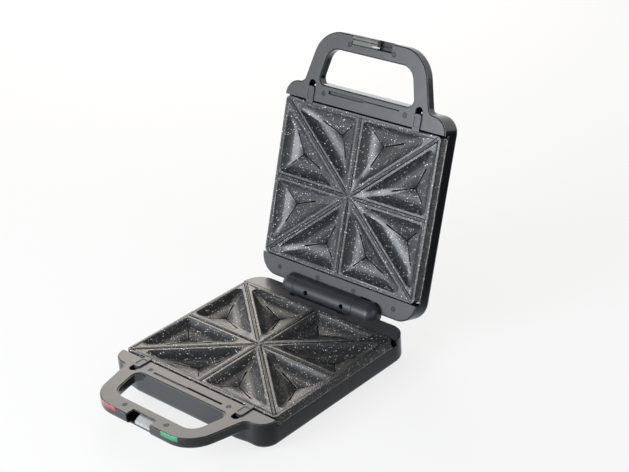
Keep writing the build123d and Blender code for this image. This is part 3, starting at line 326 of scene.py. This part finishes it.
# %% [markdown]
# The plates are die-cast aluminium with a charcoal non-stick coating. It is sprayed on in coats, and the top
# one carries white specks: many as fine as dust and a few as large as a sugar grain. Cells scattered through
# space place them: each cell draws one speck, or none, of its own size round its middle.

# %% Specks
specks = new_group(
    "specks",
    {"Cells": 250.0, "Share": 0.5, "Smallest": 0.06, "Largest": 0.2},
    {"Mask": "NodeSocketFloat"},
)
inputs, outputs = specks.nodes["Group Input"], specks.nodes["Group Output"]
cells = specks.nodes.new("ShaderNodeTexVoronoi")
specks.links.new(place_coordinates(specks), cells.inputs["Vector"])
specks.links.new(inputs.outputs["Cells"], cells.inputs["Scale"])
draws = specks.nodes.new("ShaderNodeSeparateColor")
specks.links.new(cells.outputs["Color"], draws.inputs["Color"])
has_speck = math_node(specks, "LESS_THAN", draws.outputs["Red"], inputs.outputs["Share"])
smallest, largest_size = inputs.outputs["Smallest"], inputs.outputs["Largest"]
size = stretched(specks, draws.outputs["Green"], 0.0, 1.0, smallest, largest_size)
inside = math_node(specks, "SUBTRACT", size, cells.outputs["Distance"])
speck_sharpness = 25.0
sharp_inside = math_node(specks, "MULTIPLY", inside, speck_sharpness, clamp=True)
specks.links.new(math_node(specks, "MULTIPLY", sharp_inside, has_speck), outputs.inputs["Mask"])
print("specks ready")

# %% The finishes' common start
def new_finish(name, colour, roughness, metallic=0.0):
    """A material with its Principled shader, whose plain values stand on the shader's own sockets."""
    finish = bpy.data.materials.new(name)
    finish.use_nodes = True
    shader = finish.node_tree.nodes["Principled BSDF"]
    shader.inputs["Base Color"].default_value = (*colour, 1.0)
    shader.inputs["Roughness"].default_value = roughness
    shader.inputs["Metallic"].default_value = metallic
    return finish, finish.node_tree, shader


def place_group(tree, group, **values):
    """One of the shared groups, with this finish's own values."""
    placed = tree.nodes.new("ShaderNodeGroup")
    placed.node_tree = group
    for socket, value in values.items():
        placed.inputs[socket].default_value = value
    return placed


def mix_colours(tree, mask, first, second):
    """First where the mask is 0, second where it is 1; each is a colour or a socket."""
    mix = tree.nodes.new("ShaderNodeMix")
    mix.data_type = "RGBA"
    tree.links.new(mask, mix.inputs["Factor"])
    for socket, value in zip((mix.inputs[6], mix.inputs[7]), (first, second)):
        if isinstance(value, bpy.types.NodeSocket):
            tree.links.new(value, socket)
        else:
            socket.default_value = (*value, 1.0)
    return mix.outputs[2]


def shade_bump(tree, shader, height, depth, soft=True):
    """Bump of a given depth in metres, on top of softly rounded edges."""
    bump = tree.nodes.new("ShaderNodeBump")
    bump.inputs["Distance"].default_value = depth
    tree.links.new(height, bump.inputs["Height"])
    if soft:
        tree.links.new(place_group(tree, soft_edges).outputs["Normal"], bump.inputs["Normal"])
    tree.links.new(bump.outputs["Normal"], shader.inputs["Normal"])


finishes = {}
print("ready to mix finishes")

# %% Non-stick coating
coating_dark = (0.009, 0.010, 0.012)
coating_pale = (0.040, 0.040, 0.042)
speck_white = (0.95, 0.95, 0.93)

finish, tree, shader = new_finish("nonstick_coating", coating_dark, 0.42)
mottle = stretched(tree, noise(tree, 420.0, detail=4.0, roughness=0.6), 0.42, 0.66, 0.0, 1.0)
colour = mix_colours(tree, mottle, coating_dark, coating_pale)
large = place_group(tree, specks, Cells=290.0, Share=0.9, Smallest=0.11, Largest=0.22)
small = place_group(tree, specks, Cells=450.0, Share=0.6, Smallest=0.10, Largest=0.20)
all_specks = math_node(tree, "MAXIMUM", large.outputs["Mask"], small.outputs["Mask"])
tree.links.new(mix_colours(tree, all_specks, colour, speck_white), shader.inputs["Base Color"])
gloss = place_group(tree, handled_gloss, Roughness=0.36, Drift=0.10)
tree.links.new(gloss.outputs["Roughness"], shader.inputs["Roughness"])
shader.inputs["Specular IOR Level"].default_value = 0.8
shade_bump(tree, shader, noise(tree, 800.0, detail=3.0), 0.10 * MM)
finishes["nonstick_coating"] = finish
print(finish.name)

# %% [markdown]
# Most other pieces are moulded plastic. The tubs are nearly glossy black; the decks are satin, with a fine
# spark-eroded grain. One recipe makes them all: a colour that drifts a little, a drifting gloss, the grain of
# the mould, and edges painted slightly lighter, partly for wear and partly as a painted highlight.

# %% Moulded plastics and rubber
def moulded(slot, colour, roughness, grain=2500.0, depth=0.012, drift=0.06, edge_wear_and_highlight=1.5, coat=0.0):
    """Moulded plastic or rubber; depth is the grain's, in mm, and the edge lightening says how much lighter
    its edges are painted: partly wear, partly a painted highlight.
    """
    finish, tree, shader = new_finish(slot, colour, roughness)
    shader.inputs["Coat Weight"].default_value = coat
    shader.inputs["Coat Roughness"].default_value = 0.06
    cloudy = stretched(tree, noise(tree, 60.0, detail=5.0), 0.35, 0.65, 0.0, 1.0)
    body = mix_colours(tree, cloudy, [0.92 * c for c in colour], [1.08 * c for c in colour])
    edges = place_group(tree, soft_edges)
    # edge colour painted lighter: partly wear, partly a painted highlight
    worn_and_highlit = [min(1.0, edge_wear_and_highlight * c + 0.004) for c in colour]
    tree.links.new(mix_colours(tree, edges.outputs["Edge"], body, worn_and_highlit), shader.inputs["Base Color"])
    gloss = place_group(tree, handled_gloss, Roughness=roughness, Drift=drift)
    tree.links.new(gloss.outputs["Roughness"], shader.inputs["Roughness"])
    height = place_group(tree, mould_grain, Grain=grain).outputs["Height"]
    shade_bump(tree, shader, height, depth * MM)
    finishes[slot] = finish


moulded("housing_plastic", (0.0075, 0.0080, 0.0092), 0.24, depth=0.004, drift=0.08, coat=0.35)
moulded("deck_plastic", (0.050, 0.050, 0.052), 0.36, grain=3200.0, depth=0.012, coat=0.2)
moulded("filler_plastic", (0.026, 0.027, 0.029), 0.50)
moulded("catch_plastic", (0.050, 0.055, 0.066), 0.34, edge_wear_and_highlight=3.0)
moulded("hinge_plastic", (0.030, 0.032, 0.037), 0.34, depth=0.010)
moulded("keeper_plastic", (0.42, 0.42, 0.42), 0.40)
moulded("lock_plastic", (0.16, 0.155, 0.15), 0.30)
moulded("inlet_rubber", (0.018, 0.018, 0.018), 0.60, depth=0.02)
moulded("foot_rubber", (0.022, 0.022, 0.022), 0.70, depth=0.03)
print(sorted(finishes))

# %% [markdown]
# The metals: reflector sheet is rolled, so it carries fine lines along its length; pins are turned; screws
# are blackened; the heating rod has gone straw-brown where it runs hot.

# %% Metals
def rolled_metal(slot, colour, roughness, along="X", line_size=4000.0):
    """Bright metal with fine lines left by rolling or turning, along one axis."""
    finish, tree, shader = new_finish(slot, colour, roughness, metallic=1.0)
    stretch = tree.nodes.new("ShaderNodeMapping")
    stretch.inputs["Scale"].default_value = [0.01 if axis == along else 1.0 for axis in "XYZ"]
    tree.links.new(place_coordinates(tree), stretch.inputs["Vector"])
    lines = tree.nodes.new("ShaderNodeTexNoise")
    lines.inputs["Scale"].default_value = line_size
    lines.inputs["Detail"].default_value = 2.0
    tree.links.new(stretch.outputs["Vector"], lines.inputs["Vector"])
    shade_bump(tree, shader, lines.outputs["Fac"], 0.004 * MM)
    streaks = stretched(tree, lines.outputs["Fac"], 0.3, 0.7, 0.7 * roughness, 1.3 * roughness)
    tree.links.new(streaks, shader.inputs["Roughness"])
    stain = stretched(tree, noise(tree, 35.0, detail=5.0), 0.4, 0.75, 0.0, 1.0)
    tree.links.new(mix_colours(tree, stain, colour, [0.8 * c for c in colour]), shader.inputs["Base Color"])
    finishes[slot] = finish


rolled_metal("reflector_steel", (0.78, 0.78, 0.76), 0.22, along="Y")
rolled_metal("clip_steel", (0.60, 0.60, 0.58), 0.30)
rolled_metal("heater_sheath", (0.30, 0.25, 0.19), 0.38, along="Y")
rolled_metal("thermostat_metal", (0.70, 0.69, 0.66), 0.28)
rolled_metal("spring_steel", (0.35, 0.35, 0.36), 0.30)
rolled_metal("screw_steel", (0.05, 0.05, 0.055), 0.42)
rolled_metal("pin_steel", (0.65, 0.65, 0.64), 0.18)
rolled_metal("lock_hook_steel", (0.80, 0.80, 0.81), 0.10)
print("metals done")

# %% [markdown]
# The last finishes are small: wire sleeves, ceramic blocks, and the two lamp windows, which are clear
# plastic dyed red and green. The windows get a faint painted glow in their own colour, standing in for light
# that has passed through them, so they look deep.

# %% Insulation, ceramic and lamp windows
moulded("wire_insulation", (0.55, 0.54, 0.50), 0.55, depth=0.02, drift=0.04, edge_wear_and_highlight=1.1)
moulded("terminal_ceramic", (0.72, 0.70, 0.64), 0.45, edge_wear_and_highlight=1.05)
moulded("fuse_sleeve", (0.62, 0.60, 0.55), 0.60, depth=0.03, edge_wear_and_highlight=1.05)


def lamp_window(slot, colour, painted_glow):
    """Dyed clear plastic with a faint painted glow in its own colour, standing in for light that has passed
    through.
    """
    finish, tree, shader = new_finish(slot, colour, 0.12)
    shader.inputs["Transmission Weight"].default_value = 0.35
    shader.inputs["IOR"].default_value = 1.49
    # painted glow: the window shines on its own, though no lamp is behind it
    shader.inputs["Emission Strength"].default_value = painted_glow
    streaks = stretched(tree, noise(tree, 300.0, detail=2.0), 0.3, 0.7, 0.0, 1.0)
    tinted = mix_colours(tree, streaks, [0.85 * c for c in colour], colour)
    tree.links.new(tinted, shader.inputs["Base Color"])
    tree.links.new(tinted, shader.inputs["Emission Color"])
    shade_bump(tree, shader, noise(tree, 700.0), 0.01 * MM, soft=False)
    finishes[slot] = finish


lamp_window("red_lens", (0.55, 0.07, 0.06), 0.10)
lamp_window("green_lens", (0.03, 0.42, 0.20), 0.15)
lamp_window("lamp_glass", (0.85, 0.80, 0.72), 0.0)
unfinished = {slot_of[node] for node in nodes} - set(finishes)
print(len(finishes), "finishes; slots without one:", unfinished)

# %% Every piece of the construction model gets its finish
for node, thing in nodes.items():
    thing.material_slots[0].material = finishes[slot_of[node]]
print("finished", len(nodes), "nodes")

# %% [markdown]
# The cooking plates need a finer shape than their construction model has, so each is worked on as a copy,
# which then stands for the piece. The work is placed with the two halves' own frames: x across, y from the
# handle to the hinge, z out of the half's mouth, from the middle of its cooking plate.

# %% The two halves' frames
hinge = next(joint for joint in frame["joints"] if joint["name"] == "lid_hinge")
swing = radians(hinge["range_deg"][1])
hinge_place = Vector(hinge["pos_m"])
hinge_reach = hinge_place.y - plate_centre.y
plate_gap = 2.0 * MM

base_frame = Matrix.Translation(plate_centre)
lid_axes = Matrix(((-1, 0, 0), (0, cos(swing), -sin(swing)), (0, -sin(swing), -cos(swing)))).transposed()
from_hinge_to_gap = Vector((0, plate_gap * sin(swing), plate_gap * cos(swing)))
from_gap_to_plate = Vector((0, -hinge_reach * cos(swing), hinge_reach * sin(swing)))
lid_place = hinge_place + from_hinge_to_gap + from_gap_to_plate
lid_frame = Matrix.Translation(lid_place) @ lid_axes.to_4x4()
print("lid's plate is at", [round(c, 4) for c in lid_place])

# %% Helpers for modelling
joining_distance = 0.002 * MM


def select_only(*things):
    """Selects these objects alone; the first is the active one."""
    deselect_all()
    for thing in things:
        thing.select_set(True)
    bpy.context.view_layer.objects.active = things[0]


def edit(thing):
    """Opens a piece in edit mode with all of its corners selected."""
    select_only(thing)
    bpy.ops.object.mode_set(mode="EDIT")
    bpy.ops.mesh.select_mode(type="VERT")
    bpy.ops.mesh.select_all(action="SELECT")


def object_mode():
    """Closes edit mode, which writes the work into the mesh."""
    bpy.ops.object.mode_set(mode="OBJECT")


def new_copy(name, mesh):
    """A new object with its own copy of a mesh."""
    copy = bpy.data.objects.new(name, mesh.copy())
    bpy.context.scene.collection.objects.link(copy)
    return copy


def workable_copy(node):
    """A copy of a construction piece whose loose triangles are joined again."""
    piece = new_copy(f"{node}_finished", nodes[node].data)
    edit(piece)
    bpy.ops.mesh.remove_doubles(threshold=joining_distance)
    object_mode()
    return piece


def put(thing, place):
    """Moves a new piece by a matrix and bakes that place into its mesh."""
    thing.data.transform(place @ thing.matrix_world)
    thing.matrix_world = Matrix.Identity(4)
    return thing


def stand_for(piece, node):
    """The piece takes a construction node's place: it joins the node's body, and the node is hidden."""
    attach(piece, body_of[node])
    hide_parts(node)


def soften(piece, angle):
    """Smooth shading, apart from edges sharper than the angle, in degrees."""
    select_only(piece)
    bpy.ops.object.shade_smooth_by_angle(angle=radians(angle))


def apply_modifiers(thing):
    """Works a piece's modifiers into its mesh."""
    select_only(thing)
    for name in [modifier.name for modifier in thing.modifiers]:
        bpy.ops.object.modifier_apply(modifier=name)


print("modelling helpers ready")

# %% [markdown]
# Each pocket of the plates ends in three shallow facets. On the real casting a scored line marks each valley
# between them, and two more run beside every raised bead between the pockets. Their sides get a near-black
# finish: painted shade, darker than the grooves' shape alone would make them. A V-shaped cutter is modelled
# for one line of each kind, and mirrored copies of it make the other quarters of the plate.

# %% Where the pockets lie
plate_half_width, plate_half_depth = 125.0, 104.5
land_half, wall_radius = 5.5, 20.0  # mm: half a land, and the arc of a pocket's wall
lip_angle, foot_angle = radians(60.0), radians(10.0)
far_corner = (plate_half_width, plate_half_depth)
wide_pocket = [(0.0, 0.0), far_corner, (plate_half_width, 0.0)]
deep_pocket = [(0.0, 0.0), far_corner, (0.0, plate_half_depth)]


def pocket_middle(corners):
    """The point of a triangle equally far from its sides, and that distance."""
    a, b, c = [Vector(corner) for corner in corners]
    sides = ((b - c).length, (c - a).length, (a - b).length)
    middle = (a * sides[0] + b * sides[1] + c * sides[2]) / sum(sides)
    return middle, plate_half_width * plate_half_depth / sum(sides)


inner_radius = pocket_middle(wide_pocket)[1]
foot_run = wall_radius * (sin(lip_angle) - sin(foot_angle))
foot_drop = wall_radius * (cos(foot_angle) - cos(lip_angle))
apex_drop = foot_drop + (inner_radius - land_half - foot_run) * tan(foot_angle)
print("pockets are", round(apex_drop, 2), "mm deep")


# %% The lines' cutters
bottom_share = 0.02  # how wide a line's bottom is, as a share of its top


def line_cutter(start, end, width, depth):
    """A V-shaped bar between two points, whose open side is on top; all in millimetres."""
    start, end = Vector(start), Vector(end)
    run = end - start
    deselect_all()
    bpy.ops.mesh.primitive_cube_add(size=1.0 * MM)
    cutter = bpy.context.object
    edit(cutter)
    bpy.ops.transform.resize(value=(run.length, 2.0 * width, 2.0 * depth), center_override=(0, 0, 0))
    bpy.ops.mesh.select_all(action="DESELECT")
    object_mode()
    for vertex in cutter.data.vertices:
        vertex.select = vertex.co.z < 0.0
    bpy.ops.object.mode_set(mode="EDIT")
    bpy.ops.transform.resize(value=(1.0, bottom_share, 1.0), center_override=(0, 0, 0))
    object_mode()
    flat = Vector((run.x, run.y)).length
    turn = Matrix.Rotation(atan2(run.y, run.x), 4, "Z") @ Matrix.Rotation(-atan2(run.z, flat), 4, "Y")
    return put(cutter, Matrix.Translation((start + end) / 2 * MM) @ turn)


def mirrored_copies(tool):
    """The tool and its three mirror images, in the four quarters of the plate."""
    copies = [tool]
    for across, along in ((-1, 1), (1, -1), (-1, -1)):
        copy = new_copy("copy", tool.data)
        copy.data.transform(Matrix.Diagonal((across, along, 1, 1)))
        if across * along < 0:
            copy.data.flip_normals()
        copies.append(copy)
    return copies


score_reach = 0.43  # how far a line reaches from the pocket's middle to the triangle's corner
score_width, score_depth = 1.0, 0.5
bead_side = 2.05  # mm from the middle of a bead to the line beside it
bead_start, bead_end = 9.0, 4.5
bead_width, bead_depth = 0.85, 0.5

lines = []
for corners in (wide_pocket, deep_pocket):
    middle, _ = pocket_middle(corners)
    for corner in corners:
        end = middle + (Vector(corner) - middle) * score_reach
        rise = inner_radius * score_reach * tan(foot_angle)
        line = line_cutter((*middle, -apex_drop), (*end, rise - apex_drop), score_width, score_depth)
        lines += mirrored_copies(line)
# a bead on an axis has one line in each quarter of the plate, and a diagonal bead has one on either side
beads = [((plate_half_width, 0), [1]), ((0, plate_half_depth), [1]), (far_corner, [1, -1])]
for tip, sides in beads:
    heading = Vector(tip)
    along = heading.normalized()
    for side in sides:
        beside = Vector((-along.y, along.x)) * bead_side * side
        start, end = along * bead_start + beside, along * (heading.length - bead_end) + beside
        lines += mirrored_copies(line_cutter((*start, 0), (*end, 0), bead_width, bead_depth))
select_only(*lines)
bpy.ops.object.join()
score_tool = bpy.context.object
print(len(lines), "lines")

# %% [markdown]
# A Boolean modifier takes all the lines out of the plate at once, and the cutter's painted-shade finish stays
# on their sides. Both plates are alike, so the finished one is copied over to the lid.

# %% The finished plates
# near-black painted shade for the grooves' sides, with a little random tone in it
groove_painted_shade = (0.003, 0.003, 0.0035)
finish, tree, shader = new_finish("scored_coating_painted_shade", groove_painted_shade, 0.9)
shader.inputs["Specular IOR Level"].default_value = 0.05
cloudy = stretched(tree, noise(tree, 300.0), 0.4, 0.6, 0.0, 1.0)
groove_painted_shade_pale = [1.6 * c for c in groove_painted_shade]
tree.links.new(mix_colours(tree, cloudy, groove_painted_shade, groove_painted_shade_pale), shader.inputs["Base Color"])

base_plate = workable_copy("base_plate")
score_tool.data.materials.append(finish)
put(score_tool, base_frame)
score = base_plate.modifiers.new("score", "BOOLEAN")
score.operation = "DIFFERENCE"
score.solver = "EXACT"
score.use_self = True
score.material_mode = "TRANSFER"
score.object = score_tool
apply_modifiers(base_plate)
bpy.data.objects.remove(score_tool)
crease_angle = 14.0  # the facets meet at a little more, and the wall's steps at less
soften(base_plate, crease_angle)

lid_plate = new_copy("lid_plate_finished", base_plate.data)
put(lid_plate, lid_frame @ base_frame.inverted())
stand_for(base_plate, "base_plate")
stand_for(lid_plate, "lid_plate")
print(len(base_plate.data.polygons), "faces on each plate")
